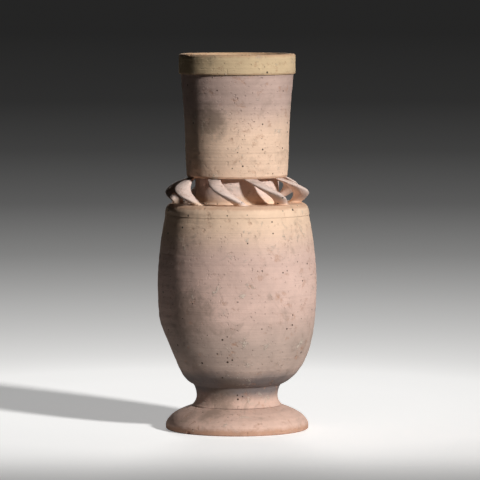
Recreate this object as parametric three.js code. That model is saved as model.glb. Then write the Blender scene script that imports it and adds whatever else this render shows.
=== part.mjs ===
// A wheel-thrown pottery vase: foot, stem, body, shoulder, neck and lip are thrown as separate
// sections and luted together, and eight rolled lugs lean round the collar between shoulder and neck.
// Millimetres, +Z up, origin at the centre of the foot's resting face.

import * as THREE from 'three';

// Fit of a luted tenon in its socket
const LUTING_GAP = 0.3;

// Foot
const FOOT_HEIGHT = 17;
const FOOT_RADIUS = 49.8;
const FOOT_EDGE_ROUND = 2.2;
const FOOT_EDGE_HEIGHT = 3.2;
const FOOT_SWELL = 7;
const FOOT_INSTEP_RUN = 6;
const FOOT_INSTEP_DROP = 2;
const RESTING_RING_WIDTH = 8.6;
const FOOT_HOLLOW_HEIGHT = 6.5;
const PEDESTAL_BORE = 14;

// Stem
const STEM_HEIGHT = 14;
const STEM_LAND_RADIUS = 31;
const STEM_LAND_WIDTH = 7;
const STEM_WAIST_RADIUS = 28.1;
const STEM_WAIST_HEIGHT = 6.5;
const STEM_TOP_RADIUS = 30.2;
const STEM_TENON_LENGTH = 5;

// Body
const BODY_HEIGHT = 118;
const BODY_RADIUS = 55.3;
const BODY_WIDEST_HEIGHT = 69;
const BODY_TOP_RADIUS = 50;
const BODY_BASE_SWEEP = 18.8;
const BODY_BASE_SWEEP_RISE = 7.5;
const BODY_BELLY_DROP = 38;
const BODY_BELLY_RISE = 20;
const BODY_BREAK_WIDTH = 2.5;
const BODY_BREAK_DROP = 13;
const BODY_WALL = 5.1;
const BODY_FLOOR = 9;
const BODY_BOSS_LENGTH = 5;
const GALLERY_DEPTH = 6;

// Shoulder and collar
const SHOULDER_THICKNESS = 8;
const SHOULDER_EDGE_WIDTH = 6;
const SHOULDER_TENON_WIDTH = 4;
const SHOULDER_TENON_LENGTH = 4;
const COLLAR_RADIUS = 29;
const COLLAR_WALL = 4.5;
const COLLAR_FILLET = 1.5;
const COLLAR_BORE_ROUND = 3;
const COLLAR_TENON_LENGTH = 4;

// Neck
const NECK_HEIGHT = 71;
const NECK_BASE_RADIUS = 35;
const NECK_EDGE_CHAMFER = 0.8;
const NECK_BASE_RISE = 13;
const NECK_MIDDLE_RADIUS = 36.2;
const NECK_MIDDLE_HEIGHT = 27;
const NECK_MIDDLE_RISE = 14;
const NECK_TOP_RADIUS = 39.1;
const NECK_MOUTH_FLARE = 1;
const NECK_MOUTH_DROP = 16;
const NECK_WALL = 4.6;
const NECK_TENON_WIDTH = 2;
const NECK_TENON_LENGTH = 3;

// Lip
const LIP_HEIGHT = 14;
const LIP_PROJECTION = 1.3;
const LIP_ROUND = 2.2;
const LIP_EDGE_CHAMFER = 0.6;

// Lugs
const LUG_COUNT = 8;
const LUG_HEIGHT = 18;
const LUG_FIRST_ANGLE = -12;
const LUG_LEAN = 34;
const LUG_FOOT_STANDOFF = 3.9;
const LUG_BOW = 8.8;
const LUG_WIDTH = 11;
const LUG_THICKNESS = 12;
const LUG_END_SHARE = 0.8;

// Facets
const TURN_STEPS = 48;
const CURVE_STEPS = 5;
const LUG_SIDES = 12;
const LUG_LEVELS = 9;

// Slip colours
const FOOT_COLOUR = 0xd8b79f;
const STEM_COLOUR = 0x97857b;
const BODY_COLOUR = 0xd3b3a6;
const SHOULDER_COLOUR = 0xdcbda2;
const NECK_COLOUR = 0xd0ae98;
const LIP_COLOUR = 0xc4aa8c;
const LUG_COLOUR = 0xc2a796;
const CLAY_ROUGHNESS = 0.9;

// A lathe turns about Y, and the vase stands along Z
const WHEEL_TO_UPRIGHT = Math.PI / 2;

// Direction of the vase's front, in degrees from +X
const FRONT = -90;

// Each section stands on the one below, and the neck on the lugs
const STEM_SEAT_Z = FOOT_HEIGHT;
const BODY_SEAT_Z = STEM_SEAT_Z + STEM_HEIGHT;
const SHOULDER_SEAT_Z = BODY_SEAT_Z + BODY_HEIGHT;
const SHOULDER_TOP_Z = SHOULDER_SEAT_Z + SHOULDER_THICKNESS;
const NECK_SEAT_Z = SHOULDER_TOP_Z + LUG_HEIGHT;
const LIP_SEAT_Z = NECK_SEAT_Z + NECK_HEIGHT;
const TOP_Z = LIP_SEAT_Z + LIP_HEIGHT;

// Radii at which two sections meet
const STEM_TENON_RADIUS = STEM_LAND_RADIUS - STEM_LAND_WIDTH;
const BODY_MOUTH_RADIUS = BODY_TOP_RADIUS - BODY_WALL;
const COLLAR_BORE = COLLAR_RADIUS - COLLAR_WALL;
const NECK_MOUTH_RADIUS = NECK_TOP_RADIUS - NECK_WALL;
const NECK_TENON_RADIUS = NECK_MOUTH_RADIUS + NECK_TENON_WIDTH;

function clay(colour) {
  return new THREE.MeshStandardMaterial({ color: colour, roughness: CLAY_ROUGHNESS, metalness: 0 });
}

// A pot section turned on the wheel. The path gives radius and height, and closes on itself.
function turned(name, path, colour) {
  const outline = path.getPoints(CURVE_STEPS);
  const geometry = new THREE.LatheGeometry(outline, TURN_STEPS);
  geometry.rotateX(WHEEL_TO_UPRIGHT);
  const mesh = new THREE.Mesh(geometry, clay(colour));
  mesh.name = name;
  return mesh;
}

// The foot stands on a ring, is hollowed beneath and has a socket for the stem's tenon.
function makeFoot() {
  const ringOuter = FOOT_RADIUS - FOOT_EDGE_ROUND;
  const ringInner = ringOuter - RESTING_RING_WIDTH;
  const socketRadius = STEM_TENON_RADIUS + LUTING_GAP;
  const socketFloor = STEM_SEAT_Z - STEM_TENON_LENGTH;
  const path = new THREE.Path();
  path.moveTo(PEDESTAL_BORE, FOOT_HOLLOW_HEIGHT);
  path.quadraticCurveTo(ringInner, FOOT_HOLLOW_HEIGHT, ringInner, 0);
  path.lineTo(ringOuter, 0);
  path.quadraticCurveTo(FOOT_RADIUS, 0, FOOT_RADIUS, FOOT_EDGE_HEIGHT);
  path.bezierCurveTo(
    FOOT_RADIUS, FOOT_EDGE_HEIGHT + FOOT_SWELL,
    STEM_LAND_RADIUS + FOOT_INSTEP_RUN, STEM_SEAT_Z - FOOT_INSTEP_DROP,
    STEM_LAND_RADIUS, STEM_SEAT_Z,
  );
  path.lineTo(socketRadius, STEM_SEAT_Z);
  path.lineTo(socketRadius, socketFloor);
  path.lineTo(PEDESTAL_BORE, socketFloor);
  path.lineTo(PEDESTAL_BORE, FOOT_HOLLOW_HEIGHT);
  return turned('foot', path, FOOT_COLOUR);
}

// The waisted stem is thrown hollow and carries the body on its flat top land.
function makeStem() {
  const tenonZ = STEM_SEAT_Z - STEM_TENON_LENGTH;
  const waistZ = STEM_SEAT_Z + STEM_WAIST_HEIGHT;
  const lowerHandleZ = (STEM_SEAT_Z + waistZ) / 2;
  const upperHandleZ = (waistZ + BODY_SEAT_Z) / 2;
  const path = new THREE.Path();
  path.moveTo(PEDESTAL_BORE, tenonZ);
  path.lineTo(STEM_TENON_RADIUS, tenonZ);
  path.lineTo(STEM_TENON_RADIUS, STEM_SEAT_Z);
  path.lineTo(STEM_LAND_RADIUS, STEM_SEAT_Z);
  path.quadraticCurveTo(STEM_WAIST_RADIUS, lowerHandleZ, STEM_WAIST_RADIUS, waistZ);
  path.quadraticCurveTo(STEM_WAIST_RADIUS, upperHandleZ, STEM_TOP_RADIUS, BODY_SEAT_Z);
  path.lineTo(PEDESTAL_BORE, BODY_SEAT_Z);
  path.lineTo(PEDESTAL_BORE, tenonZ);
  return turned('stem', path, STEM_COLOUR);
}

// The egg-shaped bowl has a boss below for the stem's bore and a straight gallery at the top.
function makeBody() {
  const bossRadius = PEDESTAL_BORE - LUTING_GAP;
  const sweepRadius = STEM_TOP_RADIUS + BODY_BASE_SWEEP;
  const innerRadius = BODY_RADIUS - BODY_WALL;
  const bossZ = BODY_SEAT_Z - BODY_BOSS_LENGTH;
  const floorZ = BODY_SEAT_Z + BODY_FLOOR;
  const widestZ = BODY_SEAT_Z + BODY_WIDEST_HEIGHT;
  const bellyLowZ = widestZ - BODY_BELLY_DROP;
  const bellyHighZ = widestZ + BODY_BELLY_RISE;
  const breakZ = SHOULDER_SEAT_Z - BODY_BREAK_DROP;
  const galleryZ = SHOULDER_SEAT_Z - GALLERY_DEPTH;
  const path = new THREE.Path();
  path.moveTo(0, bossZ);
  path.lineTo(bossRadius, bossZ);
  path.lineTo(bossRadius, BODY_SEAT_Z);
  path.lineTo(STEM_TOP_RADIUS, BODY_SEAT_Z);
  path.bezierCurveTo(
    sweepRadius, BODY_SEAT_Z + BODY_BASE_SWEEP_RISE,
    BODY_RADIUS, bellyLowZ,
    BODY_RADIUS, widestZ,
  );
  path.bezierCurveTo(
    BODY_RADIUS, bellyHighZ,
    BODY_TOP_RADIUS + BODY_BREAK_WIDTH, breakZ,
    BODY_TOP_RADIUS, SHOULDER_SEAT_Z,
  );
  path.lineTo(BODY_MOUTH_RADIUS, SHOULDER_SEAT_Z);
  path.lineTo(BODY_MOUTH_RADIUS, galleryZ);
  path.bezierCurveTo(
    BODY_MOUTH_RADIUS + BODY_BREAK_WIDTH, breakZ,
    innerRadius, bellyHighZ,
    innerRadius, widestZ,
  );
  path.bezierCurveTo(
    innerRadius, bellyLowZ,
    sweepRadius - BODY_WALL, floorZ,
    0, floorZ,
  );
  return turned('body', path, BODY_COLOUR);
}

// The shoulder ring drops into the body's gallery and rises inside the lugs as a collar.
function makeShoulder() {
  const tenonOuter = BODY_MOUTH_RADIUS - LUTING_GAP;
  const tenonInner = tenonOuter - SHOULDER_TENON_WIDTH;
  const tenonZ = SHOULDER_SEAT_Z - SHOULDER_TENON_LENGTH;
  const flatRadius = BODY_TOP_RADIUS - SHOULDER_EDGE_WIDTH;
  const collarTop = NECK_SEAT_Z + COLLAR_TENON_LENGTH;
  const path = new THREE.Path();
  path.moveTo(COLLAR_BORE, SHOULDER_SEAT_Z + COLLAR_BORE_ROUND);
  path.quadraticCurveTo(COLLAR_BORE, SHOULDER_SEAT_Z, COLLAR_BORE + COLLAR_BORE_ROUND, SHOULDER_SEAT_Z);
  path.lineTo(tenonInner, SHOULDER_SEAT_Z);
  path.lineTo(tenonInner, tenonZ);
  path.lineTo(tenonOuter, tenonZ);
  path.lineTo(tenonOuter, SHOULDER_SEAT_Z);
  path.lineTo(BODY_TOP_RADIUS, SHOULDER_SEAT_Z);
  path.quadraticCurveTo(BODY_TOP_RADIUS, SHOULDER_TOP_Z, flatRadius, SHOULDER_TOP_Z);
  path.lineTo(COLLAR_RADIUS + COLLAR_FILLET, SHOULDER_TOP_Z);
  path.quadraticCurveTo(COLLAR_RADIUS, SHOULDER_TOP_Z, COLLAR_RADIUS, SHOULDER_TOP_Z + COLLAR_FILLET);
  path.lineTo(COLLAR_RADIUS, collarTop);
  path.lineTo(COLLAR_BORE, collarTop);
  path.lineTo(COLLAR_BORE, SHOULDER_SEAT_Z + COLLAR_BORE_ROUND);
  return turned('shoulder', path, SHOULDER_COLOUR);
}

// The neck is rebated below to sit over the collar, turns in at its base and opens a little to the mouth.
function makeNeck() {
  const rebateRadius = COLLAR_RADIUS + LUTING_GAP;
  const middleInner = NECK_MIDDLE_RADIUS - NECK_WALL;
  const rebateZ = NECK_SEAT_Z + COLLAR_TENON_LENGTH;
  const middleZ = NECK_SEAT_Z + NECK_MIDDLE_HEIGHT;
  const middleHighZ = middleZ + NECK_MIDDLE_RISE;
  const flareZ = LIP_SEAT_Z - NECK_MOUTH_DROP;
  const tenonZ = LIP_SEAT_Z + NECK_TENON_LENGTH;
  const path = new THREE.Path();
  path.moveTo(rebateRadius, NECK_SEAT_Z);
  path.lineTo(NECK_BASE_RADIUS - NECK_EDGE_CHAMFER, NECK_SEAT_Z);
  path.lineTo(NECK_BASE_RADIUS, NECK_SEAT_Z + NECK_EDGE_CHAMFER);
  path.quadraticCurveTo(
    NECK_MIDDLE_RADIUS, NECK_SEAT_Z + NECK_BASE_RISE,
    NECK_MIDDLE_RADIUS, middleZ,
  );
  path.bezierCurveTo(
    NECK_MIDDLE_RADIUS, middleHighZ,
    NECK_TOP_RADIUS - NECK_MOUTH_FLARE, flareZ,
    NECK_TOP_RADIUS, LIP_SEAT_Z,
  );
  path.lineTo(NECK_TENON_RADIUS, LIP_SEAT_Z);
  path.lineTo(NECK_TENON_RADIUS, tenonZ);
  path.lineTo(NECK_MOUTH_RADIUS, tenonZ);
  path.bezierCurveTo(
    NECK_MOUTH_RADIUS - NECK_MOUTH_FLARE, flareZ,
    middleInner, middleHighZ,
    middleInner, middleZ,
  );
  path.bezierCurveTo(
    middleInner, middleZ - NECK_BASE_RISE,
    COLLAR_BORE, rebateZ + NECK_BASE_RISE,
    COLLAR_BORE, rebateZ,
  );
  path.lineTo(rebateRadius, rebateZ);
  path.lineTo(rebateRadius, NECK_SEAT_Z);
  return turned('neck', path, NECK_COLOUR);
}

// The lip is a plain band with a rounded top, rebated to sit over the neck's tenon.
function makeLip() {
  const outer = NECK_TOP_RADIUS + LIP_PROJECTION;
  const rebateRadius = NECK_TENON_RADIUS + LUTING_GAP;
  const rebateZ = LIP_SEAT_Z + NECK_TENON_LENGTH;
  const path = new THREE.Path();
  path.moveTo(rebateRadius, LIP_SEAT_Z);
  path.lineTo(outer - LIP_EDGE_CHAMFER, LIP_SEAT_Z);
  path.lineTo(outer, LIP_SEAT_Z + LIP_EDGE_CHAMFER);
  path.lineTo(outer, TOP_Z - LIP_ROUND);
  path.quadraticCurveTo(outer, TOP_Z, outer - LIP_ROUND, TOP_Z);
  path.lineTo(NECK_MOUTH_RADIUS + LIP_ROUND, TOP_Z);
  path.quadraticCurveTo(NECK_MOUTH_RADIUS, TOP_Z, NECK_MOUTH_RADIUS, TOP_Z - LIP_ROUND);
  path.lineTo(NECK_MOUTH_RADIUS, rebateZ);
  path.lineTo(rebateRadius, rebateZ);
  path.lineTo(rebateRadius, LIP_SEAT_Z);
  return turned('lip', path, LIP_COLOUR);
}

// One lug is a roll of clay with flat ends. Its foot stands clear of the collar's fillet, and its head is
// pressed flat under the neck. In between it is thickest, bows out and leans to one side.
function makeLug(number) {
  const footInner = COLLAR_RADIUS + COLLAR_FILLET + LUG_FOOT_STANDOFF;
  const footRadius = footInner + LUG_THICKNESS * LUG_END_SHARE / 2;
  const headInner = COLLAR_RADIUS + LUTING_GAP;
  const headOuter = NECK_BASE_RADIUS - NECK_EDGE_CHAMFER;
  const headRadius = (headInner + headOuter) / 2;
  const headShare = (headOuter - headInner) / LUG_THICKNESS;
  const middleAngle = FRONT + LUG_FIRST_ANGLE + (number - 1) * 360 / LUG_COUNT;
  const positions = [];
  const triangles = [];
  for (let level = 0; level < LUG_LEVELS; level += 1) {
    const share = level / (LUG_LEVELS - 1);
    const swell = Math.sin(Math.PI * share);
    const endShare = THREE.MathUtils.lerp(LUG_END_SHARE, headShare, share);
    const halfDepth = LUG_THICKNESS / 2 * THREE.MathUtils.lerp(endShare, 1, swell);
    const halfBreadth = LUG_WIDTH / 2 * THREE.MathUtils.lerp(LUG_END_SHARE, 1, swell);
    const z = THREE.MathUtils.lerp(SHOULDER_TOP_Z, NECK_SEAT_Z, share);
    const middle = THREE.MathUtils.lerp(footRadius, headRadius, share) + LUG_BOW * swell;
    const angle = THREE.MathUtils.degToRad(middleAngle + LUG_LEAN * (0.5 - share));
    const outward = new THREE.Vector2(Math.cos(angle), Math.sin(angle));
    const sideways = new THREE.Vector2(-outward.y, outward.x);
    for (let side = 0; side < LUG_SIDES; side += 1) {
      const turn = 2 * Math.PI * side / LUG_SIDES;
      const depth = middle + halfDepth * Math.cos(turn);
      const breadth = halfBreadth * Math.sin(turn);
      positions.push(
        outward.x * depth + sideways.x * breadth,
        outward.y * depth + sideways.y * breadth,
        z,
      );
    }
  }
  for (let level = 0; level < LUG_LEVELS - 1; level += 1) {
    for (let side = 0; side < LUG_SIDES; side += 1) {
      const next = (side + 1) % LUG_SIDES;
      const low = level * LUG_SIDES;
      const high = low + LUG_SIDES;
      triangles.push(low + side, low + next, high + next);
      triangles.push(low + side, high + next, high + side);
    }
  }
  const topStart = (LUG_LEVELS - 1) * LUG_SIDES;
  for (let side = 1; side < LUG_SIDES - 1; side += 1) {
    triangles.push(0, side + 1, side);
    triangles.push(topStart, topStart + side, topStart + side + 1);
  }
  const geometry = new THREE.BufferGeometry();
  geometry.setAttribute('position', new THREE.Float32BufferAttribute(positions, 3));
  geometry.setIndex(triangles);
  geometry.computeVertexNormals();
  const mesh = new THREE.Mesh(geometry, clay(LUG_COLOUR));
  mesh.name = `lug_${number}`;
  return mesh;
}

const vase = new THREE.Group();
vase.name = 'vase';
vase.add(makeFoot(), makeStem(), makeBody(), makeShoulder(), makeNeck(), makeLip());
for (let number = 1; number <= LUG_COUNT; number += 1) {
  vase.add(makeLug(number));
}

export default vase;
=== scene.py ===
"""A footed pottery vase with leaning lugs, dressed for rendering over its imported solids."""

import math
import random

import bpy
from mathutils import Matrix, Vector


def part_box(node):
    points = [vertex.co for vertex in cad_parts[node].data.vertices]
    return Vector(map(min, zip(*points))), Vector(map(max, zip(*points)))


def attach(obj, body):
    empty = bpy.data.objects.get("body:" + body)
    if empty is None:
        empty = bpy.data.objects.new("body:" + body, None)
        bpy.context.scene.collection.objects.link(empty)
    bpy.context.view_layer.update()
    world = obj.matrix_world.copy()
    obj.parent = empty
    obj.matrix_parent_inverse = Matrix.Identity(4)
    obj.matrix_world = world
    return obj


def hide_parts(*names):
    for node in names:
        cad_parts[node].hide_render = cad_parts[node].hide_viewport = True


bl_info = {
    "name": "Footed Vase",
    "version": (1, 2),
    "blender": (4, 5, 0),
    "location": "View3D > Sidebar > Vase",
    "description": "Models a wheel-thrown pottery vase section by section",
    "category": "Add Mesh",
}

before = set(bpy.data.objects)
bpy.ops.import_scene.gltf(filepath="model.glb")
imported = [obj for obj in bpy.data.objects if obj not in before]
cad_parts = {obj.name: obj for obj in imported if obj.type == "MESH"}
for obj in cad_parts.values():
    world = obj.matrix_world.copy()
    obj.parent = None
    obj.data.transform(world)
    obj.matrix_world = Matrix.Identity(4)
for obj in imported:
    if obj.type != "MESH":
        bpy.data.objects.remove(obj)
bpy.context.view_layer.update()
BODY = "root"
LUG_NODES = sorted(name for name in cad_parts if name.startswith("lug_"))

# Heights and radii that the solids already settle, in metres
STEM_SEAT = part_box("foot")[1][2]
BODY_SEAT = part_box("stem")[1][2]
SHOULDER_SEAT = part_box("body")[1][2]
SHOULDER_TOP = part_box("lug_1")[0][2]
NECK_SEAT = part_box("neck")[0][2]
LIP_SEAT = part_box("lip")[0][2]
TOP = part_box("lip")[1][2]
FOOT_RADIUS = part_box("foot")[1][0]
STEM_LAND_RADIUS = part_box("stem")[1][0]
BODY_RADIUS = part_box("body")[1][0]
SHOULDER_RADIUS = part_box("shoulder")[1][0]
LIP_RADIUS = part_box("lip")[1][0]

FULL_TURN = 2 * math.pi
FRONT = -math.pi / 2
CREASE_ANGLE = math.radians(40)
LUG_CREASE_ANGLE = math.radians(60)

# Noise over the clay: millimetres across, detail, roughness and distortion
CLAY_FORMS = {
    "clouds": (45, 5, 0.62, 0.5),
    "blotches": (14, 6, 0.65, 0.6),
    "stains": (19, 8, 0.64, 0.9),
    "rubbing": (8, 10, 0.7, 0.25),
    "crust": (11, 12, 0.72, 0.35),
    "fraying": (5, 8, 0.7, 0.0),
    "lumps": (3.2, 5, 0.6, 0.0),
    "grain": (0.6, 4, 0.65, 0.0),
}

# What the clay makes of its forms: the form, the range of it that counts, and what that range becomes
CLAY_LEVELS = {
    "drying": ("clouds", 0.3, 0.7, 0.88, 1.08),
    "mottling": ("blotches", 0.3, 0.7, 0.93, 1.06),
    "turning": ("lines", 0.25, 0.75, 0.95, 1.03),
    "specks": ("rubbing", 0.57, 0.68, 0.0, 0.55),
    "crusted": ("crust", 0.6, 0.66, 0.0, 0.6),
    "dullness": ("rubbing", 0.35, 0.65, 0.84, 0.97),
}


def mm(millimetres):
    """Metres from millimetres."""
    return millimetres / 1000


def linear(hex_colour):
    """Linear RGB from an sRGB hex colour."""
    channels = []
    for place in (1, 3, 5):
        value = int(hex_colour[place:place + 2], 16) / 255
        channels.append(value / 12.92 if value <= 0.04045 else ((value + 0.055) / 1.055) ** 2.4)
    return channels


def a_length(name, description, millimetres):
    """A length that the user can change, in metres."""
    return bpy.props.FloatProperty(
        name=name, description=description, default=mm(millimetres), min=0, unit="LENGTH", subtype="DISTANCE"
    )


def an_angle(name, description, degrees):
    """An angle that the user can change, in radians."""
    return bpy.props.FloatProperty(
        name=name, description=description, default=math.radians(degrees), unit="ROTATION", subtype="ANGLE"
    )


def a_colour(name, description, hex_colour):
    """A colour that the user can change."""
    return bpy.props.FloatVectorProperty(
        name=name, description=description, default=linear(hex_colour), size=3, min=0, max=1, subtype="COLOR"
    )


class VaseSizes(bpy.types.PropertyGroup):
    """Sizes that the solids' boxes don't give directly."""

    wheel_steps: bpy.props.IntProperty(
        name="Wheel steps", description="Faces round each turned section", default=256, min=32, max=512
    )
    ring_spacing: a_length("Ring spacing", "Distance between points up a turned wall", 1.0)
    ridge_depth: a_length("Ridge depth", "Depth of the finger ridges left by throwing", 0.28)
    wobble: a_length("Wobble", "How far the hand-finished wall strays inwards", 0.6)
    luting_gap: a_length("Luting gap", "Gap round a luted tenon", 0.3)
    foot_edge_round: a_length("Foot edge round", "Width of the round under the foot's edge", 2.2)
    foot_edge_height: a_length("Foot edge height", "Height of the foot's widest ring", 3.2)
    foot_swell: a_length("Foot swell", "How far the foot's edge rises before it turns in", 7)
    foot_instep_run: a_length("Instep run", "How far out the foot's slope meets the stem", 6)
    foot_instep_drop: a_length("Instep drop", "How far down the foot's slope starts", 2)
    resting_ring: a_length("Resting ring", "Width of the ring that the vase stands on", 8.6)
    foot_hollow: a_length("Foot hollow", "Height of the hollow under the foot", 6.5)
    pedestal_bore: a_length("Pedestal bore", "Radius of the bore in foot and stem", 14)
    stem_land_width: a_length("Stem land width", "Width of the seat round the stem's tenon", 7)
    stem_waist: a_length("Stem waist radius", "Radius of the stem's narrowest ring", 28.1)
    stem_waist_height: a_length("Stem waist height", "Height of that ring above the foot", 6.5)
    stem_top: a_length("Stem top radius", "Radius of the stem under the body", 30.2)
    tenon_length: a_length("Tenon length", "Length of the stem's tenon and the body's boss", 5)
    body_widest: a_length("Widest height", "Height of the body's widest ring above its seat", 69)
    body_sweep: a_length("Base sweep", "How far the base sweeps out before it rises", 18.8)
    body_sweep_rise: a_length("Base sweep rise", "How far it rises over that sweep", 7.5)
    belly_drop: a_length("Belly drop", "How far below the widest ring the wall stays upright", 38)
    belly_rise: a_length("Belly rise", "How far above the widest ring the wall stays upright", 20)
    break_width: a_length("Break width", "How far the wall leans out under the shoulder", 2.5)
    break_drop: a_length("Break drop", "Height over which it leans out", 13)
    flat_side: a_length("Flat side", "How far the body's left side is pressed in low down", 6)
    body_wall: a_length("Body wall", "Thickness of the body's wall", 5.1)
    body_floor: a_length("Body floor", "Thickness of the body's floor", 9)
    gallery_depth: a_length("Gallery depth", "Depth of the straight part of the body's mouth", 6)
    shoulder_edge: a_length("Shoulder edge", "Width of the rounded shoulder edge", 6)
    shoulder_tenon: a_length("Shoulder tenon", "Width and length of the shoulder's tenon", 4)
    collar_radius: a_length("Collar radius", "Radius of the collar behind the lugs", 29)
    collar_wall: a_length("Collar wall", "Thickness of the collar", 4.5)
    collar_fillet: a_length("Collar fillet", "Fillet at the collar's foot", 1.5)
    collar_bore_round: a_length("Collar bore round", "Round at the lower edge of the collar's bore", 3)
    collar_tenon: a_length("Collar tenon", "How far the collar reaches into the neck", 4)
    neck_base: a_length("Neck base radius", "Radius of the neck's lower edge", 35)
    neck_chamfer: a_length("Neck chamfer", "Chamfer of the neck's lower edge", 0.8)
    neck_base_rise: a_length("Neck base rise", "Height over which the neck's base turns in", 13)
    neck_middle: a_length("Neck middle radius", "Radius of the neck's upright part", 36.2)
    neck_middle_height: a_length("Neck middle height", "Height of that part above the neck's seat", 27)
    neck_middle_rise: a_length("Neck middle rise", "How far above it the neck stays upright", 14)
    neck_top: a_length("Neck top radius", "Radius of the neck under the lip", 39.1)
    neck_mouth_flare: a_length("Mouth flare", "How far the neck opens under the lip", 1)
    neck_mouth_drop: a_length("Mouth drop", "Height over which it opens", 16)
    neck_wall: a_length("Neck wall", "Thickness of the neck's wall", 4.6)
    neck_tenon_width: a_length("Neck tenon width", "Width of the neck's tenon", 2)
    neck_tenon_length: a_length("Neck tenon length", "Length of the neck's tenon", 3)
    lip_round: a_length("Lip round", "Round of the lip's top edges", 2.2)
    lip_chamfer: a_length("Lip chamfer", "Chamfer of the lip's lower edge", 0.6)
    lug_foot_standoff: a_length("Lug foot standoff", "Distance of a lug's foot from the fillet", 3.9)
    lug_bow: a_length("Lug bow", "How far a lug bows outwards", 8.8)
    lug_width: a_length("Lug width", "Breadth of a lug at mid height", 11)
    lug_thickness: a_length("Lug thickness", "Depth of a lug at mid height", 12)
    lug_smear: a_length("Lug smear", "Height over which a lug's ends are smeared out", 2.5)
    lug_first_angle: an_angle("First lug", "Angle of the first lug from the front", -12)
    lug_lean: an_angle("Lug lean", "Angle that a lug leans over its height", 34)


class VaseColours(bpy.types.PropertyGroup):
    """Slip, clay and stain colours of the sections; the stain and stem colours also serve as painted shadow
    and shade.
    """

    lip: a_colour("Lip slip", "Cream-yellow slip of the lip", "#d8be9a")
    neck_high: a_colour("Upper neck slip", "Greyer slip under the lip", "#c8ada2")
    neck_low: a_colour("Lower neck slip", "Peach slip above the lugs", "#f8d6bc")
    shoulder: a_colour("Shoulder slip", "Peach-yellow slip of the shoulder", "#f5d4b8")
    body_high: a_colour("Upper body slip", "Pink slip of the upper body", "#e0c0b3")
    # Used low on the body, which gets darker and greyer towards the bottom
    body_low: a_colour("Lower body slip", "Greyer pink slip of the lower body", "#c0a99d")
    # Partly painted shade: the stem colour is darker than the other slips because the stem stands in the
    # body's shade
    stem: a_colour("Stem slip", "Grey-brown slip of the stem", "#7d7472")
    foot: a_colour("Foot slip", "Peach-orange slip of the foot", "#dcbaaa")
    lug: a_colour("Lug slip", "Pink-grey slip of the lugs", "#e8d1c6")
    bare_clay: a_colour("Bare clay", "Fired clay where the slip has gone", "#bb8b6e")
    crust: a_colour("Crust", "Pale crust left by burial", "#d9cdbd")
    # The stain colour is also laid on as painted shadow on the foot, stem and body
    stain_and_shadow: a_colour("Stain", "Grey-brown burial stain", "#7f6e60")
    grit: a_colour("Grit", "Dark grit in the clay", "#4d4038")
    floor_near: a_colour("Near floor", "Pale floor under the vase", "#f3f3f3")
    floor_far: a_colour("Far floor", "Floor where it darkens with distance", "#252525")


def bezier(start, first_handle, second_handle, end, spacing):
    """Points along a curve after its start, about spacing apart."""
    reach = (Vector(end) - Vector(start)).length
    steps = max(3, round(reach / spacing))
    points = []
    for step in range(1, steps + 1):
        share = step / steps
        rest = 1 - share
        point = (
            rest ** 3 * Vector(start)
            + 3 * rest ** 2 * share * Vector(first_handle)
            + 3 * rest * share ** 2 * Vector(second_handle)
            + share ** 3 * Vector(end)
        )
        points.append((point.x, point.y))
    return points


def rounded(start, corner, end, spacing):
    """Points along an edge rounded towards its corner, after its start."""
    first_handle = Vector(start).lerp(Vector(corner), 2 / 3)
    second_handle = Vector(end).lerp(Vector(corner), 2 / 3)
    return bezier(start, first_handle, second_handle, end, spacing)


def straight(start, end, spacing):
    """Points along a straight line, after its start."""
    first_handle = Vector(start).lerp(Vector(end), 1 / 3)
    second_handle = Vector(start).lerp(Vector(end), 2 / 3)
    return bezier(start, first_handle, second_handle, end, spacing)


def ridged(points, depth):
    """The points drawn in by the shallow uneven ridges that the potter's fingers leave up a wall."""
    wide_pitch = mm(8.3)
    narrow_pitch = mm(3.1)
    sway_pitch = mm(37)
    result = []
    for radius, height in points:
        sway = math.sin(FULL_TURN * height / sway_pitch)
        wide = 0.5 + 0.5 * math.sin(FULL_TURN * height / wide_pitch + 2.2 * sway)
        narrow = 0.5 + 0.5 * math.sin(FULL_TURN * height / narrow_pitch + 3.1 * sway)
        result.append((radius - depth * (0.65 + 0.35 * sway) * (0.7 * wide + 0.3 * narrow), height))
    return result


def turn_section(name, outline, steps):
    """Draws a closed outline by extruding one point, and spins it once round the wheel axis."""
    start = outline[0]
    bpy.ops.mesh.primitive_plane_add(size=mm(1), location=(start[0], 0, start[1]))
    piece = bpy.context.object
    piece.name = name
    bpy.ops.object.transform_apply(location=True, rotation=True, scale=True)
    bpy.ops.object.mode_set(mode="EDIT")
    bpy.ops.mesh.select_all(action="SELECT")
    bpy.ops.mesh.merge(type="CENTER")
    for (radius, height), (next_radius, next_height) in zip(outline, outline[1:]):
        move = (next_radius - radius, 0, next_height - height)
        bpy.ops.mesh.extrude_vertices_move(TRANSFORM_OT_translate={"value": move})
    bpy.ops.mesh.select_all(action="SELECT")
    bpy.ops.mesh.spin(steps=steps, angle=FULL_TURN, center=(0, 0, 0), axis=(0, 0, 1))
    bpy.ops.mesh.select_all(action="SELECT")
    bpy.ops.mesh.remove_doubles(threshold=mm(0.02))
    bpy.ops.mesh.normals_make_consistent(inside=False)
    bpy.ops.object.mode_set(mode="OBJECT")
    return piece


def apply_modifier(piece, modifier):
    """Makes a modifier's work part of the piece's mesh."""
    bpy.context.view_layer.objects.active = piece
    bpy.ops.object.modifier_apply(modifier=modifier.name)


def displace(piece, name, scale, depth, lowest=0.0, mid_level=1.0):
    """Moves the surface above the lowest height by a cloud texture, inwards only at a mid level of 1."""
    texture = bpy.data.textures.new(name, "CLOUDS")
    texture.noise_scale = scale
    texture.noise_depth = 3
    group = piece.vertex_groups.new(name="moved")
    group.add([vertex.index for vertex in piece.data.vertices if vertex.co.z > lowest], 1.0, "REPLACE")
    modifier = piece.modifiers.new(name, "DISPLACE")
    modifier.texture = texture
    modifier.texture_coords = "LOCAL"
    modifier.strength = depth
    modifier.mid_level = mid_level
    modifier.vertex_group = group.name
    apply_modifier(piece, modifier)
    piece.vertex_groups.clear()


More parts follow.
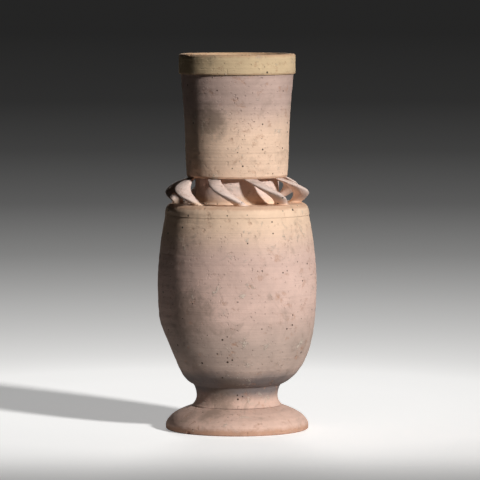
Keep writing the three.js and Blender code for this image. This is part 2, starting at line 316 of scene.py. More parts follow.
def press_side(piece, centre, radius, move):
    """Moves the clay within a radius of the centre by up to the given move, as a palm does."""
    group = piece.vertex_groups.new(name="pressed")
    for vertex in piece.data.vertices:
        share = (vertex.co - centre).length / radius
        if share < 1:
            group.add([vertex.index], (1 - share ** 2) ** 2, "REPLACE")
    modifier = piece.modifiers.new("press", "DISPLACE")
    modifier.direction = "X"
    modifier.strength = move
    modifier.mid_level = 0.0
    modifier.vertex_group = group.name
    apply_modifier(piece, modifier)
    piece.vertex_groups.clear()


def chip_edge(piece, places, size, seed):
    """Knocks chips out of an edge at the places, each an angle from the front, a radius and a height."""
    generator = random.Random(seed)
    for angle, radius, height in places:
        at = Vector((radius * math.sin(angle), -radius * math.cos(angle), height))
        chip_radius = size * generator.uniform(0.6, 1.4)
        bpy.ops.mesh.primitive_ico_sphere_add(subdivisions=3, radius=chip_radius, location=at)
        cutter = bpy.context.object
        cutter.rotation_euler = [generator.uniform(0, math.pi) for _ in range(3)]
        cutter.scale = (1.0, generator.uniform(0.5, 0.8), generator.uniform(1.0, 1.8))
        bpy.ops.object.transform_apply(location=True, rotation=True, scale=True)
        displace(cutter, "chip_rough", size * 0.6, size * 0.6, mid_level=0.5)
        cut = piece.modifiers.new("chip", "BOOLEAN")
        cut.operation = "DIFFERENCE"
        cut.solver = "EXACT"
        cut.object = cutter
        apply_modifier(piece, cut)
        bpy.data.objects.remove(cutter)


def pick(piece):
    """Makes the piece the only one that is selected, and the active one."""
    bpy.ops.object.select_all(action="DESELECT")
    piece.select_set(True)
    bpy.context.view_layer.objects.active = piece


def hand_over(piece, material, node, crease_angle=CREASE_ANGLE):
    """Smooths the piece, gives it its material, and sets it on the root body for its solid."""
    pick(piece)
    bpy.ops.object.shade_smooth_by_angle(angle=crease_angle)
    piece.data.materials.clear()
    piece.data.materials.append(material)
    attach(piece, BODY)
    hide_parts(node)


def add_node(tree, kind, inputs=None, output=0, **settings):
    """Adds a node with its properties, fills or links its inputs, and returns an output of it."""
    node = tree.nodes.new(f"ShaderNode{kind}")
    for key, value in settings.items():
        setattr(node, key, value)
    for key, value in (inputs or {}).items():
        if isinstance(value, bpy.types.NodeSocket):
            tree.links.new(value, node.inputs[key])
        else:
            node.inputs[key].default_value = value
    return node.outputs[output]


def rgba(colour):
    """A colour property as four numbers."""
    return (*colour, 1)


def set_stops(ramp, stops):
    """Gives a colour ramp its stops, each a position and a colour."""
    elements = ramp.elements
    while len(elements) < len(stops):
        elements.new(0.5)
    for element, (position, colour) in zip(elements, stops):
        element.position = position
        element.color = rgba(colour)


def slip_zones(tree, height, ragged, zones):
    """Slip colour by height: zones of a height in millimetres and a colour, with wavy borders."""
    lowest = zones[0][0]
    highest = zones[-1][0]
    wave = 14
    lifted = add_node(tree, "Math", {0: ragged, 1: wave, 2: height}, operation="MULTIPLY_ADD")
    place = add_node(tree, "MapRange", {
        "Value": lifted, "From Min": lowest + wave / 2, "From Max": highest + wave / 2,
    })
    colour = add_node(tree, "ValToRGB", {"Fac": place})
    ramp = colour.node.color_ramp
    ramp.interpolation = "EASE"
    set_stops(ramp, [((zone - lowest) / (highest - lowest), slip) for zone, slip in zones])
    return colour


def add_cover(tree, under, distance, ragged, fray, full, gone, strength):
    """Adds a cover to the one under it, full at one distance and gone at another, frayed by the noise."""
    frayed = add_node(tree, "Math", {0: ragged, 1: fray, 2: distance}, operation="MULTIPLY_ADD")
    near = add_node(tree, "MapRange", {
        "Value": frayed, "From Min": full, "From Max": gone, "To Min": strength, "To Max": 0.0,
    }, interpolation_type="SMOOTHSTEP")
    return add_node(tree, "Math", {0: under, 1: near}, operation="MAXIMUM")


def ring_marks(tree, height, ragged, rings):
    """How strongly marks lie round the pot, each ring given as a height, a reach and a strength."""
    cover = 0.0
    for middle, reach, strength in rings:
        offset = add_node(tree, "Math", {0: height, 1: middle}, operation="SUBTRACT")
        distance = add_node(tree, "Math", {0: offset}, operation="ABSOLUTE")
        cover = add_cover(
            tree, cover, distance, ragged,
            fray=-1.6 * reach, full=-0.8 * reach, gone=0.2 * reach, strength=strength,
        )
    return cover


def placed_stains_and_shadows(tree, point, ragged, cover, patches):
    """Adds larger patches to the even stains, each with a centre, a radius and a strength: some are stains,
    and some are painted shadow where the body shades the parts under it.
    """
    for centre, radius, strength in patches:
        distance = add_node(tree, "VectorMath", {0: point, 1: centre}, "Value", operation="DISTANCE")
        cover = add_cover(
            tree, cover, distance, ragged,
            fray=2.6 * radius, full=1.5 * radius, gone=2.6 * radius, strength=strength,
        )
    return cover


def grains(tree, point, spacing, size, share):
    """Grains up to the given size, in the given share of cells the given spacing wide, in millimetres."""
    distance = add_node(tree, "TexVoronoi", {"Vector": point, "Scale": 1 / spacing})
    first_chance = add_node(tree, "SeparateColor", {0: distance.node.outputs["Color"]})
    second_chance = first_chance.node.outputs[1]
    held = add_node(tree, "Math", {0: first_chance, 1: share}, operation="LESS_THAN")
    radius = add_node(tree, "Math", {0: second_chance, 1: size / spacing}, operation="MULTIPLY")
    outside = add_node(tree, "Math", {0: distance, 1: radius}, operation="SUBTRACT")
    return add_node(tree, "MapRange", {
        "Value": outside, "From Min": -0.02, "From Max": 0.05, "To Min": held, "To Max": 0.0,
    })


def slipped_clay(name, zones, edges=(), stain_level=0.4, patches=()):
    """Fired earthenware under a thin matte slip, brushed on while the pot turned, then long buried.

    The slip is chalky and dries unevenly, so broad mottling and fine turning lines run through it.
    It has rubbed through to redder clay on edges and in small places, and keeps grey-brown stains,
    thin pale crust and dark grit; the stain colour is also laid on as painted shadow and shade in
    some patches. Nothing on it shines. Zones are heights with their slip, edges are heights with the
    reach and strength of the rubbing, and patches are stains and painted shadows with centre, radius
    and strength, all in millimetres.
    """
    colours = bpy.context.scene.vase_colours
    material = bpy.data.materials.new(name)
    material.use_nodes = True
    tree = material.node_tree
    shader = tree.nodes["Principled BSDF"]
    shader.inputs["IOR"].default_value = 1.45
    shader.inputs["Specular IOR Level"].default_value = 0.2
    shader.inputs["Diffuse Roughness"].default_value = 0.0

    # All patterns are in millimetres
    place = add_node(tree, "TexCoord", output="Object")
    point = add_node(tree, "Mapping", {"Vector": place, "Scale": (1000, 1000, 1000)})
    height = add_node(tree, "SeparateXYZ", {0: point}, "Z")
    forms = {}
    for form, (across, detail, roughness, distortion) in CLAY_FORMS.items():
        forms[form] = add_node(tree, "TexNoise", {
            "Vector": point, "Scale": 1 / across,
            "Detail": detail, "Roughness": roughness, "Distortion": distortion,
        })

    # Turning lines: noise of one line's width up the wall, drawn out sixty times as long round it
    line_width = 1.1
    drawn = 1 / 60
    drawn_out = add_node(tree, "Mapping", {"Vector": point, "Scale": (drawn, drawn, 1)})
    forms["lines"] = add_node(tree, "TexNoise", {"Vector": drawn_out, "Scale": 1 / line_width, "Detail": 3})
    levels = {}
    for level, (form, low, high, least, most) in CLAY_LEVELS.items():
        levels[level] = add_node(tree, "MapRange", {
            "Value": forms[form], "From Min": low, "From Max": high, "To Min": least, "To Max": most,
        })

    # Uneven drying and turning lines shade the slip
    colour = slip_zones(tree, height, forms["clouds"], zones)
    for shade in ("drying", "mottling", "turning"):
        colour = add_node(tree, "VectorMath", {0: colour, "Scale": levels[shade]}, operation="SCALE")

    # Slip rubbed through in specks and on edges, burial stains and patches of painted shadow in the stain
    # colour, thin crust, and dark grit
    worn = ring_marks(tree, height, forms["fraying"], edges)
    rubbed = add_node(tree, "Math", {0: levels["specks"], 1: worn}, operation="MAXIMUM")
    stained_and_shaded = add_node(tree, "MapRange", {
        "Value": forms["stains"], "From Min": 0.53, "From Max": 0.72, "To Max": stain_level,
    }, interpolation_type="SMOOTHSTEP")
    stained_and_shaded = placed_stains_and_shadows(tree, point, forms["rubbing"], stained_and_shaded, patches)
    grit = grains(tree, point, spacing=3.4, size=0.8, share=0.16)
    layers = [
        (rubbed, colours.bare_clay),
        (stained_and_shaded, colours.stain_and_shadow),
        (levels["crusted"], colours.crust),
        (grit, colours.grit),
    ]
    for cover, over in layers:
        colour = add_node(tree, "Mix", {
            "Factor": cover, "A": colour, "B": rgba(over),
        }, "Result", data_type="RGBA")
    tree.links.new(colour, shader.inputs["Base Color"])
    tree.links.new(levels["dullness"], shader.inputs["Roughness"])

    # Sandy grain, lumps, turning lines, pits and slip edges, each with its depth in mm and its strength
    pits = grains(tree, point, spacing=2.3, size=0.7, share=0.4)
    sunk_pits = add_node(tree, "Math", {0: 0.0, 1: pits}, operation="SUBTRACT")
    slip_edges = add_node(tree, "Math", {0: levels["crusted"], 1: rubbed}, operation="SUBTRACT")
    reliefs = [
        (forms["grain"], 0.2, 0.6),
        (forms["lumps"], 0.5, 0.5),
        (forms["lines"], 0.35, 0.6),
        (sunk_pits, 0.5, 0.8),
        (slip_edges, 0.45, 0.8),
    ]
    normal = add_node(tree, "NewGeometry", output="Normal")
    for form, depth, strength in reliefs:
        normal = add_node(tree, "Bump", {
            "Height": form, "Distance": mm(depth), "Strength": strength, "Normal": normal,
        })
    tree.links.new(normal, shader.inputs["Normal"])
    return material


class VaseOperator:
    """What the vase's operators share."""

    bl_options = {"REGISTER", "UNDO"}

    def values(self, context):
        """The sizes and colours that the user sets."""
        return context.scene.vase_sizes, context.scene.vase_colours


class VASE_OT_foot(VaseOperator, bpy.types.Operator):
    """Turns the spreading foot, hollowed beneath, with a chipped lower edge"""

    bl_idname = "vase.foot"
    bl_label = "Foot"

    def execute(self, context):
        """Models the foot."""
        sizes, colours = self.values(context)
        ring_outer = FOOT_RADIUS - sizes.foot_edge_round
        ring_inner = ring_outer - sizes.resting_ring
        edge_height = sizes.foot_edge_height
        socket = STEM_LAND_RADIUS - sizes.stem_land_width + sizes.luting_gap
        socket_floor = STEM_SEAT - sizes.tenon_length
        start = (sizes.pedestal_bore, sizes.foot_hollow)
        outline = [start]
        outline += rounded(start, (ring_inner, sizes.foot_hollow), (ring_inner, 0), mm(1.5))
        outline += straight((ring_inner, 0), (ring_outer, 0), mm(1.5))
        outline += rounded((ring_outer, 0), (FOOT_RADIUS, 0), (FOOT_RADIUS, edge_height), mm(0.5))
        outline += ridged(bezier(
            (FOOT_RADIUS, edge_height),
            (FOOT_RADIUS, edge_height + sizes.foot_swell),
            (STEM_LAND_RADIUS + sizes.foot_instep_run, STEM_SEAT - sizes.foot_instep_drop),
            (STEM_LAND_RADIUS, STEM_SEAT), mm(0.8),
        )[:-1], sizes.ridge_depth)
        outline.append((STEM_LAND_RADIUS, STEM_SEAT))
        outline += [(socket, STEM_SEAT), (socket, socket_floor), (sizes.pedestal_bore, socket_floor), start]
        piece = turn_section("foot_clay", outline, sizes.wheel_steps)
        displace(piece, "hand_finish", mm(30), sizes.wobble, mm(1.5))
        edge = FOOT_RADIUS + mm(0.4)
        chips = [(-0.75, 1), (0.42, 5), (1.3, 1.5), (2.4, 2), (-2.2, 1)]
        chip_edge(piece, [(angle, edge, mm(height)) for angle, height in chips], mm(2.0), seed=11)
        zones = [(0, colours.foot), (29, colours.foot)]
        # Painted shadow of the body on the left front of the foot, laid on in the stain colour
        left_stain_and_shadow = ((-17.0, -33.0, 16.0), 12.0, 0.6)
        clay = slipped_clay("foot_slip", zones, edges=[(2, 4, 0.7)], patches=[left_stain_and_shadow])
        hand_over(piece, clay, "foot")
        return {"FINISHED"}


class VASE_OT_stem(VaseOperator, bpy.types.Operator):
    """Turns the short waisted stem"""

    bl_idname = "vase.stem"
    bl_label = "Stem"

    def execute(self, context):
        """Models the stem."""
        sizes, colours = self.values(context)
        tenon_low = STEM_SEAT - sizes.tenon_length
        tenon = STEM_LAND_RADIUS - sizes.stem_land_width
        waist = sizes.stem_waist
        waist_height = STEM_SEAT + sizes.stem_waist_height
        start = (sizes.pedestal_bore, tenon_low)
        low = (STEM_LAND_RADIUS, STEM_SEAT)
        middle = (waist, waist_height)
        high = (sizes.stem_top, BODY_SEAT)
        outline = [start, (tenon, tenon_low), (tenon, STEM_SEAT), low]
        wall = rounded(low, (waist, (STEM_SEAT + waist_height) / 2), middle, mm(0.5))
        wall += rounded(middle, (waist, (waist_height + BODY_SEAT) / 2), high, mm(0.5))
        outline += ridged(wall[:-1], sizes.ridge_depth)
        outline += [high, (sizes.pedestal_bore, BODY_SEAT), start]
        piece = turn_section("stem_clay", outline, sizes.wheel_steps)
        # The stem darkens upwards into the stem colour, partly painted shade under the body
        zones = [(19, colours.foot), (29, colours.stem)]
        # Painted shadow of the body on the left front of the stem, laid on in the stain colour
        left_stain_and_shadow = ((-12.0, -27.0, 25.0), 13.0, 0.6)
        clay = slipped_clay("stem_slip", zones, stain_level=0.5, patches=[left_stain_and_shadow])
        hand_over(piece, clay, "stem")
        return {"FINISHED"}


class VASE_OT_body(VaseOperator, bpy.types.Operator):
    """Turns the egg-shaped body with its ridged wall"""

    bl_idname = "vase.body"
    bl_label = "Body"

    def execute(self, context):
        """Models the body."""
        sizes, colours = self.values(context)
        spacing = sizes.ring_spacing
        boss = sizes.pedestal_bore - sizes.luting_gap
        boss_low = BODY_SEAT - sizes.tenon_length
        sweep = sizes.stem_top + sizes.body_sweep
        mouth = SHOULDER_RADIUS - sizes.body_wall
        inner = BODY_RADIUS - sizes.body_wall
        floor_height = BODY_SEAT + sizes.body_floor
        widest = BODY_SEAT + sizes.body_widest
        break_height = SHOULDER_SEAT - sizes.break_drop
        gallery = SHOULDER_SEAT - sizes.gallery_depth
        start = (0, boss_low)
        outline = [start, (boss, boss_low), (boss, BODY_SEAT), (sizes.stem_top, BODY_SEAT)]
        wall = bezier(
            (sizes.stem_top, BODY_SEAT), (sweep, BODY_SEAT + sizes.body_sweep_rise),
            (BODY_RADIUS, widest - sizes.belly_drop), (BODY_RADIUS, widest), spacing,
        )
        wall += bezier(
            (BODY_RADIUS, widest), (BODY_RADIUS, widest + sizes.belly_rise),
            (SHOULDER_RADIUS + sizes.break_width, break_height), (SHOULDER_RADIUS, SHOULDER_SEAT), spacing,
        )
        outline += ridged(wall[:-1], sizes.ridge_depth)
        outline += [(SHOULDER_RADIUS, SHOULDER_SEAT), (mouth, SHOULDER_SEAT), (mouth, gallery)]
        inside = bezier(
            (mouth, gallery), (mouth + sizes.break_width, break_height),
            (inner, widest + sizes.belly_rise), (inner, widest), spacing * 3,
        )
        inside += bezier(
            (inner, widest), (inner, widest - sizes.belly_drop),
            (sweep - sizes.body_wall, floor_height), (0, floor_height), spacing * 3,
        )
        outline += inside
        piece = turn_section("body_clay", outline, sizes.wheel_steps)
        displace(piece, "hand_finish", mm(38), sizes.wobble, BODY_SEAT)
        left_side = Vector((-mm(52), 0, mm(49)))
        palm_reach = mm(30)
        press_side(piece, left_side, palm_reach, sizes.flat_side)
        # The body gets darker and greyer towards the bottom, and takes the stem colour at its base as
        # painted shade under the belly
        zones = [
            (36, colours.stem), (46, colours.body_low), (58, colours.body_low), (90, colours.body_high),
            (118, colours.body_high), (150, colours.shoulder),
        ]
        # A darker patch on the left front of the lower body, partly a grey stain and partly painted shade on
        # the side away from the key lamp
        left_stain_and_shadow = ((-33.0, -43.0, 84.0), 21.0, 0.5)
        # Painted shadow under the belly, at the front of the body's base
        painted_underside_shadow = ((-3.0, -34.0, 36.0), 12.0, 0.5)
        clay = slipped_clay("body_slip", zones, patches=[left_stain_and_shadow, painted_underside_shadow])
        hand_over(piece, clay, "body")
        return {"FINISHED"}


class VASE_OT_shoulder(VaseOperator, bpy.types.Operator):
    """Turns the shoulder ring and the collar that stands behind the lugs"""

    bl_idname = "vase.shoulder"
    bl_label = "Shoulder"

    def execute(self, context):
        """Models the shoulder and collar."""
        sizes, colours = self.values(context)
        tenon_outer = SHOULDER_RADIUS - sizes.body_wall - sizes.luting_gap
        tenon_inner = tenon_outer - sizes.shoulder_tenon
        tenon_low = SHOULDER_SEAT - sizes.shoulder_tenon
        flat = SHOULDER_RADIUS - sizes.shoulder_edge
        collar = sizes.collar_radius
        bore = collar - sizes.collar_wall
        bore_round = sizes.collar_bore_round
        fillet = sizes.collar_fillet
        collar_top = NECK_SEAT + sizes.collar_tenon
        start = (bore, SHOULDER_SEAT + bore_round)
        outline = [start]
        outline += rounded(start, (bore, SHOULDER_SEAT), (bore + bore_round, SHOULDER_SEAT), mm(0.7))
        outline += [(tenon_inner, SHOULDER_SEAT), (tenon_inner, tenon_low), (tenon_outer, tenon_low)]
        edge_low = (SHOULDER_RADIUS, SHOULDER_SEAT)
        edge_high = (flat, SHOULDER_TOP)
        fillet_low = (collar + fillet, SHOULDER_TOP)
        fillet_high = (collar, SHOULDER_TOP + fillet)
        outline += [(tenon_outer, SHOULDER_SEAT), edge_low]
        outline += rounded(edge_low, (SHOULDER_RADIUS, SHOULDER_TOP), edge_high, mm(0.5))
        outline += straight(edge_high, fillet_low, mm(1))
        outline += rounded(fillet_low, (collar, SHOULDER_TOP), fillet_high, mm(0.4))
        outline += straight(fillet_high, (collar, NECK_SEAT), mm(1))
        outline += [(collar, collar_top), (bore, collar_top), start]
        piece = turn_section("shoulder_clay", outline, sizes.wheel_steps)
        displace(piece, "hand_finish", mm(26), sizes.wobble * 0.5, SHOULDER_SEAT + mm(0.5))
        edge_radius = SHOULDER_RADIUS - sizes.shoulder_edge / 4 + mm(0.3)
        edge_height = SHOULDER_TOP - mm(1)
        chips = [(angle, edge_radius, edge_height) for angle in (-0.5, 0.9, 1.9, -2.7)]
        chip_edge(piece, chips, mm(1.5), seed=5)
        zones = [
            (118, colours.body_high), (150, colours.shoulder), (158, colours.shoulder), (166, colours.lug),
        ]
        clay = slipped_clay("shoulder_slip", zones, edges=[(155.5, 2.2, 0.5)], stain_level=0.35)
        hand_over(piece, clay, "shoulder")
        return {"FINISHED"}


class VASE_OT_neck(VaseOperator, bpy.types.Operator):
    """Turns the wide neck that stands over the collar"""

    bl_idname = "vase.neck"
    bl_label = "Neck"

    def execute(self, context):
        """Models the neck."""
        sizes, colours = self.values(context)
        spacing = sizes.ring_spacing
        rebate = sizes.collar_radius + sizes.luting_gap
        rebate_top = NECK_SEAT + sizes.collar_tenon
        bore = sizes.collar_radius - sizes.collar_wall
        mouth = sizes.neck_top - sizes.neck_wall
        tenon = mouth + sizes.neck_tenon_width
        tenon_top = LIP_SEAT + sizes.neck_tenon_length
        middle = sizes.neck_middle
        middle_height = NECK_SEAT + sizes.neck_middle_height
        middle_high = middle_height + sizes.neck_middle_rise
        base_rise = sizes.neck_base_rise
        flare_height = LIP_SEAT - sizes.neck_mouth_drop
        inner = middle - sizes.neck_wall
        chamfer = sizes.neck_chamfer
        base = sizes.neck_base
        start = (rebate, NECK_SEAT)
        low = (base, NECK_SEAT + chamfer)
        upright = (middle, middle_height)
        outline = [start, (base - chamfer, NECK_SEAT), low]
        wall = rounded(low, (middle, NECK_SEAT + base_rise), upright, spacing)
        wall += bezier(
            upright, (middle, middle_high),
            (sizes.neck_top - sizes.neck_mouth_flare, flare_height), (sizes.neck_top, LIP_SEAT), spacing,
        )
        outline += ridged(wall[:-1], sizes.ridge_depth)
        outline += [(sizes.neck_top, LIP_SEAT), (tenon, LIP_SEAT), (tenon, tenon_top), (mouth, tenon_top)]
        outline += ridged(bezier(
            (mouth, tenon_top), (mouth - sizes.neck_mouth_flare, flare_height),
            (inner, middle_high), (inner, middle_height), spacing,
        ), -sizes.ridge_depth)
        outline += bezier(
            (inner, middle_height), (inner, middle_height - base_rise),
            (bore, rebate_top + base_rise), (bore, rebate_top), spacing * 2,
        )
        outline += [(rebate, rebate_top), start]
        piece = turn_section("neck_clay", outline, sizes.wheel_steps)
        displace(piece, "hand_finish", mm(33), sizes.wobble * 0.7, NECK_SEAT + mm(0.5))
        zones = [(175, colours.neck_low), (200, colours.neck_low), (230, colours.neck_high)]
        left_stain_and_shadow = ((-17.0, -32.0, 215.0), 12.0, 0.65)
        low_edge = (175.5, 1.4, 0.5)
        clay = slipped_clay("neck_slip", zones, [low_edge], stain_level=0.3, patches=[left_stain_and_shadow])
        hand_over(piece, clay, "neck")
        return {"FINISHED"}


class VASE_OT_lip(VaseOperator, bpy.types.Operator):
    """Turns the banded lip, with its rounded and chipped top edge"""

    bl_idname = "vase.lip"
    bl_label = "Lip"

    def execute(self, context):
        """Models the lip."""
        sizes, colours = self.values(context)
        mouth = sizes.neck_top - sizes.neck_wall
        rebate = mouth + sizes.neck_tenon_width + sizes.luting_gap
        rebate_top = LIP_SEAT + sizes.neck_tenon_length
        round_off = sizes.lip_round
        chamfer = sizes.lip_chamfer
        start = (rebate, LIP_SEAT)
        low = (LIP_RADIUS, LIP_SEAT + chamfer)
        high = (LIP_RADIUS, TOP - round_off)
        top_outer = (LIP_RADIUS - round_off, TOP)
        top_inner = (mouth + round_off, TOP)
        inner_high = (mouth, TOP - round_off)
        outline = [start, (LIP_RADIUS - chamfer, LIP_SEAT), low]
        outline += ridged(straight(low, high, mm(0.8)), sizes.ridge_depth)
        outline += rounded(high, (LIP_RADIUS, TOP), top_outer, mm(0.3))
        outline += straight(top_outer, top_inner, mm(0.6))
        outline += rounded(top_inner, (mouth, TOP), inner_high, mm(0.3))
        outline += straight(inner_high, (mouth, rebate_top), mm(1))
        outline += [(rebate, rebate_top), start]
        piece = turn_section("lip_clay", outline, sizes.wheel_steps)
        displace(piece, "hand_finish", mm(24), sizes.wobble * 0.5, LIP_SEAT + mm(0.5))
        chips = [
            (-0.95, LIP_RADIUS, TOP), (0.2, LIP_RADIUS, TOP - mm(0.4)), (1.15, LIP_RADIUS, TOP),
            (2.6, LIP_RADIUS, TOP), (-2.0, mouth, TOP), (0.7, mouth, TOP),
        ]
        chip_edge(piece, chips, mm(1.7), seed=7)
        zones = [(240, colours.lip), (260, colours.lip)]
        edges = [(259.5, 2.4, 0.55), (246.5, 1.0, 0.4)]
        clay = slipped_clay("lip_slip", zones, edges, stain_level=0.5)
        hand_over(piece, clay, "lip")
        return {"FINISHED"}


class VASE_OT_lugs(VaseOperator, bpy.types.Operator):
    """Rolls one leaning lug, copies it round the collar and presses each copy into place"""

    bl_idname = "vase.lugs"
    bl_label = "Lugs"

    end_share: bpy.props.FloatProperty(
        name="End share", description="Girth of the ends to the middle", default=0.8
    )
    smear_share: bpy.props.FloatProperty(
        name="Smear share", description="How far the ends spread", default=0.22
    )
    levels: bpy.props.IntProperty(name="Levels", description="Rings of points up a lug", default=29)
    sides: bpy.props.IntProperty(name="Sides", description="Points round a lug", default=32)

    def execute(self, context):
        """Models the lugs."""
        sizes, colours = self.values(context)
        zones = [(157, colours.shoulder), (161, colours.lug), (180, colours.lug)]
        clay = slipped_clay("lug_slip", zones, stain_level=0.35)
        model = self.roll_lug(sizes)
        for number, node in enumerate(LUG_NODES):
            piece = model.copy()
            piece.data = model.data.copy()
            piece.name = f"{node}_clay"
            context.collection.objects.link(piece)
            pick(piece)
            head_angle = FRONT + sizes.lug_first_angle - sizes.lug_lean / 2
            piece.rotation_euler.z = head_angle + FULL_TURN * number / len(LUG_NODES)
            bpy.ops.object.transform_apply(location=True, rotation=True, scale=True)
            displace(piece, "rolled", mm(18), mm(1.2), SHOULDER_TOP + mm(0.3), mid_level=0.6)
            displace(piece, "pressed", mm(6), mm(0.6), SHOULDER_TOP + mm(0.3), mid_level=0.75)
            hand_over(piece, clay, node, LUG_CREASE_ANGLE)
        bpy.data.objects.remove(model)
        return {"FINISHED"}

    def roll_lug(self, sizes):
        """One lug, drawn up ring by ring. The newest ring is always over +X, and the others turn away."""
        bpy.ops.mesh.primitive_circle_add(
            vertices=self.sides, radius=1, fill_type="NGON", location=(0, 0, 0)
        )
        piece = bpy.context.object
        piece.name = "lug_model"
        centre, depth, breadth = self.ring(sizes, 0)
        piece.scale = (depth / 2, breadth / 2, 1)
        piece.location = centre
        bpy.ops.object.transform_apply(location=True, rotation=True, scale=True)
        bpy.ops.object.mode_set(mode="EDIT")
        bpy.ops.mesh.select_all(action="SELECT")
        reached = 0
        for level in range(1, self.levels):
            # The rings stand closer together at both ends
            share = 0.5 - 0.5 * math.cos(math.pi * level / (self.levels - 1))
            target, next_depth, next_breadth = self.ring(sizes, share)
            bpy.ops.mesh.extrude_region_move(TRANSFORM_OT_translate={"value": target - centre})
            growth = (next_depth / depth, next_breadth / breadth, 1)
            bpy.ops.transform.resize(value=growth, center_override=target)
            bpy.ops.mesh.select_all(action="INVERT")
            turn = sizes.lug_lean * (share - reached)
            bpy.ops.transform.rotate(value=-turn, orient_axis="Z", center_override=(0, 0, 0))
            bpy.ops.mesh.select_all(action="INVERT")
            centre, depth, breadth, reached = target, next_depth, next_breadth, share
        bpy.ops.mesh.select_all(action="SELECT")
        bpy.ops.mesh.normals_make_consistent(inside=False)
        bpy.ops.object.mode_set(mode="OBJECT")
        return piece

    def ring(self, sizes, share):
        """The centre, depth and breadth of the ring at a share of the height."""
        foot_inner = sizes.collar_radius + sizes.collar_fillet + sizes.lug_foot_standoff
        foot_middle = foot_inner + sizes.lug_thickness * self.end_share / 2
        head_inner = sizes.collar_radius + sizes.luting_gap
        head_outer = sizes.neck_base - sizes.neck_chamfer
        head_middle = (head_inner + head_outer) / 2
        head_share = (head_outer - head_inner) / sizes.lug_thickness
        swell = math.sin(math.pi * share)
        middle = foot_middle + (head_middle - foot_middle) * share + sizes.lug_bow * swell
        depth_share = self.end_share + (head_share - self.end_share) * share
        depth = sizes.lug_thickness * (depth_share + (1 - depth_share) * swell)
        breadth = sizes.lug_width * (self.end_share + (1 - self.end_share) * swell)
        lug_height = NECK_SEAT - SHOULDER_TOP
        from_end = lug_height * min(share, 1 - share)
        smear = self.smear_share * max(0, 1 - from_end / sizes.lug_smear) ** 2
        breadth *= 1 + smear
        depth *= 1 + smear * (0.5 - share)
        return Vector((middle, 0, SHOULDER_TOP + lug_height * share)), depth, breadth


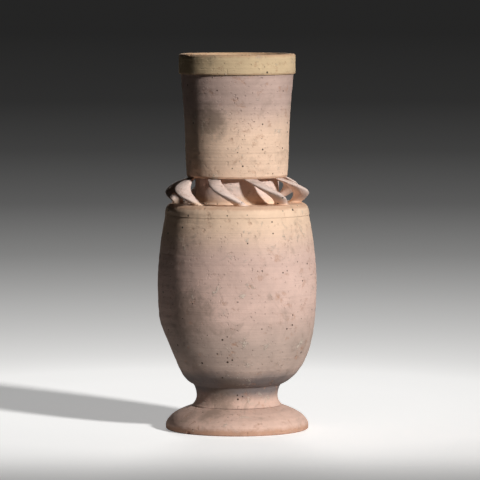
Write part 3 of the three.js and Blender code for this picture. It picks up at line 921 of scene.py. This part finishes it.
class VASE_OT_stage(VaseOperator, bpy.types.Operator):
    """Lays the floor and sets the lamps, the world and the camera"""

    bl_idname = "vase.stage"
    bl_label = "Stage"

    key_direction: an_angle("Key direction", "Angle of the key lamp right of the front", 41)
    key_height: an_angle("Key height", "Angle of the key lamp above the floor", 23)
    key_width: an_angle("Key width", "Width of the key lamp as seen from the vase", 6)
    key_strength: bpy.props.FloatProperty(name="Key strength", description="Strength of it", default=3.4)
    back_direction: an_angle("Back direction", "Angle of the back lamp right of the front", 180)
    back_height: an_angle("Back height", "Angle of the back lamp above the floor", 22)
    back_width: an_angle("Back width", "Width of the back lamp as seen from the vase", 16)
    back_strength: bpy.props.FloatProperty(name="Back strength", description="Strength of it", default=0.7)

    def execute(self, context):
        """Makes the stage."""
        self.lay_floor(context)
        self.set_lamp("key_lamp", self.key_direction, self.key_height, self.key_strength, self.key_width)
        self.set_lamp(
            "back_lamp", self.back_direction, self.back_height, self.back_strength, self.back_width
        )
        self.set_world(context)
        self.set_camera(context)
        context.scene.view_settings.view_transform = "Standard"
        return {"FINISHED"}

    def seen(self, tree):
        """One for what the camera sees, directly or through gloss or glass, and none for other light."""
        camera_ray = add_node(tree, "LightPath", output="Is Camera Ray")
        rays = camera_ray.node.outputs
        result = add_node(tree, "Math", {0: camera_ray, 1: rays["Is Glossy Ray"]}, operation="MAXIMUM")
        return add_node(tree, "Math", {0: result, 1: rays["Is Transmission Ray"]}, operation="MAXIMUM")

    def lay_floor(self, context):
        """A wide pale floor that darkens with distance, brighter to the camera than by its light alone."""
        colours = context.scene.vase_colours
        seen_albedo = 1.3
        seen_glow = 0.33
        brightest = (-0.02, 0.14, 0)
        bpy.ops.mesh.primitive_circle_add(vertices=96, radius=60, fill_type="NGON", location=(0, 0, 0))
        floor = bpy.context.object
        floor.name = "floor"
        material = bpy.data.materials.new("graded_floor")
        material.use_nodes = True
        tree = material.node_tree
        shader = tree.nodes["Principled BSDF"]
        shader.inputs["Roughness"].default_value = 1.0
        shader.inputs["Specular IOR Level"].default_value = 0.0
        place = add_node(tree, "TexCoord", output="Object")
        distance = add_node(tree, "VectorMath", {0: place, 1: brightest}, "Value", operation="DISTANCE")
        # Distances in metres go through their logarithm, so that the grading is even in the picture
        nearest = -1.0
        farthest = 1.2
        spread = add_node(tree, "Math", {0: distance, 1: 10.0}, operation="LOGARITHM")
        grade = add_node(tree, "MapRange", {"Value": spread, "From Min": nearest, "From Max": farthest})
        tone = add_node(tree, "ValToRGB", {"Fac": grade})
        near = Vector(colours.floor_near)
        far = Vector(colours.floor_far)
        # How far the colour has gone from far to near, by the logarithm of the distance
        stops = [(-1.0, 1.0), (-0.78, 1.0), (-0.58, 0.96), (-0.42, 0.785), (-0.06, 0.468), (0.18, 0.23),
                 (0.39, 0.096), (0.6, 0.036), (0.81, 0.01), (1.2, 0.0)]
        reach = farthest - nearest
        graded = [((at - nearest) / reach, far.lerp(near, share)) for at, share in stops]
        set_stops(tone.node.color_ramp, graded)
        # The floor ends towards the viewer in a softer darkening
        towards = add_node(tree, "SeparateXYZ", {0: place}, "Y")
        front = add_node(tree, "MapRange", {
            "Value": towards, "From Min": -0.32, "From Max": -0.13, "To Min": 0.55, "To Max": 1.0,
        }, interpolation_type="SMOOTHSTEP")
        tone = add_node(tree, "VectorMath", {0: tone, "Scale": front}, operation="SCALE")
        # Light comes back up from the floor round the vase only, as from a small white table
        from_vase = add_node(tree, "VectorMath", {0: place}, "Value", operation="LENGTH")
        bounce = add_node(tree, "MapRange", {
            "Value": from_vase, "From Min": 0.1, "From Max": 0.25, "To Min": 0.85, "To Max": 0.1,
        })
        seen = self.seen(tree)
        albedo = add_node(tree, "MapRange", {"Value": seen, "To Min": bounce, "To Max": seen_albedo})
        lit = add_node(tree, "VectorMath", {0: tone, "Scale": albedo}, operation="SCALE")
        lift = add_node(tree, "Math", {0: seen, 1: seen_glow}, operation="MULTIPLY")
        tree.links.new(lit, shader.inputs["Base Color"])
        tree.links.new(tone, shader.inputs["Emission Color"])
        tree.links.new(lift, shader.inputs["Emission Strength"])
        floor.data.materials.append(material)

    def set_lamp(self, name, direction, height, strength, width):
        """A far lamp. Its direction from the front, height above the floor and width are angles."""
        towards = Vector((
            math.sin(direction) * math.cos(height),
            -math.cos(direction) * math.cos(height),
            math.sin(height),
        ))
        bpy.ops.object.light_add(type="SUN", location=towards * 2)
        lamp = bpy.context.object
        lamp.name = name
        lamp.rotation_mode = "QUATERNION"
        lamp.rotation_quaternion = (-towards).to_track_quat("-Z", "Y")
        lamp.data.energy = strength
        lamp.data.angle = width
        warm_white = (1.0, 0.99, 0.97)
        lamp.data.color = warm_white

    def set_world(self, context):
        """Weak even light from all round, over a dark grey backdrop."""
        colours = context.scene.vase_colours
        studio_glow = (0.0055, 0.0048, 0.0042)
        world = bpy.data.worlds.new("studio")
        context.scene.world = world
        world.use_nodes = True
        tree = world.node_tree
        tone = add_node(tree, "Mix", {
            "Factor": self.seen(tree), "A": rgba(studio_glow), "B": rgba(colours.floor_far),
        }, "Result", data_type="RGBA")
        tree.links.new(tone, tree.nodes["Background"].inputs["Color"])

    def set_camera(self, context):
        """A long lens a little above the mouth's height."""
        distance = 2.7
        rise = 0.32
        width_in_view = 0.332
        aim = Vector((0.002, 0, 0.131))
        at = Vector((0.002, -distance, rise))
        bpy.ops.object.camera_add(location=at)
        camera = bpy.context.object
        camera.name = "camera"
        camera.rotation_mode = "QUATERNION"
        camera.rotation_quaternion = (aim - at).to_track_quat("-Z", "Y")
        camera.data.lens = camera.data.sensor_width * (aim - at).length / width_in_view
        context.scene.camera = camera


class VASE_PT_panel(bpy.types.Panel):
    """Lists the vase's operators and values"""

    bl_label = "Footed Vase"
    bl_idname = "VASE_PT_panel"
    bl_space_type = "VIEW_3D"
    bl_region_type = "UI"
    bl_category = "Vase"

    def draw(self, context):
        """Draws the panel."""
        layout = self.layout
        for operator in PIECE_OPERATORS:
            layout.operator(operator.bl_idname)
        for group in (context.scene.vase_sizes, context.scene.vase_colours):
            box = layout.box()
            for name in group.__annotations__:
                box.prop(group, name)


PIECE_OPERATORS = (
    VASE_OT_foot,
    VASE_OT_stem,
    VASE_OT_body,
    VASE_OT_shoulder,
    VASE_OT_neck,
    VASE_OT_lip,
    VASE_OT_lugs,
    VASE_OT_stage,
)
CLASSES = (VaseSizes, VaseColours, *PIECE_OPERATORS, VASE_PT_panel)


def register():
    """Registers the classes and the scene's values."""
    for each in CLASSES:
        bpy.utils.register_class(each)
    bpy.types.Scene.vase_sizes = bpy.props.PointerProperty(type=VaseSizes)
    bpy.types.Scene.vase_colours = bpy.props.PointerProperty(type=VaseColours)


def unregister():
    """Removes what register added."""
    del bpy.types.Scene.vase_colours
    del bpy.types.Scene.vase_sizes
    for each in reversed(CLASSES):
        bpy.utils.unregister_class(each)


def main():
    """Makes the vase and its stage."""
    register()
    bpy.ops.vase.foot()
    bpy.ops.vase.stem()
    bpy.ops.vase.body()
    bpy.ops.vase.shoulder()
    bpy.ops.vase.neck()
    bpy.ops.vase.lip()
    bpy.ops.vase.lugs()
    bpy.ops.vase.stage()


if __name__ == "__main__":
    main()
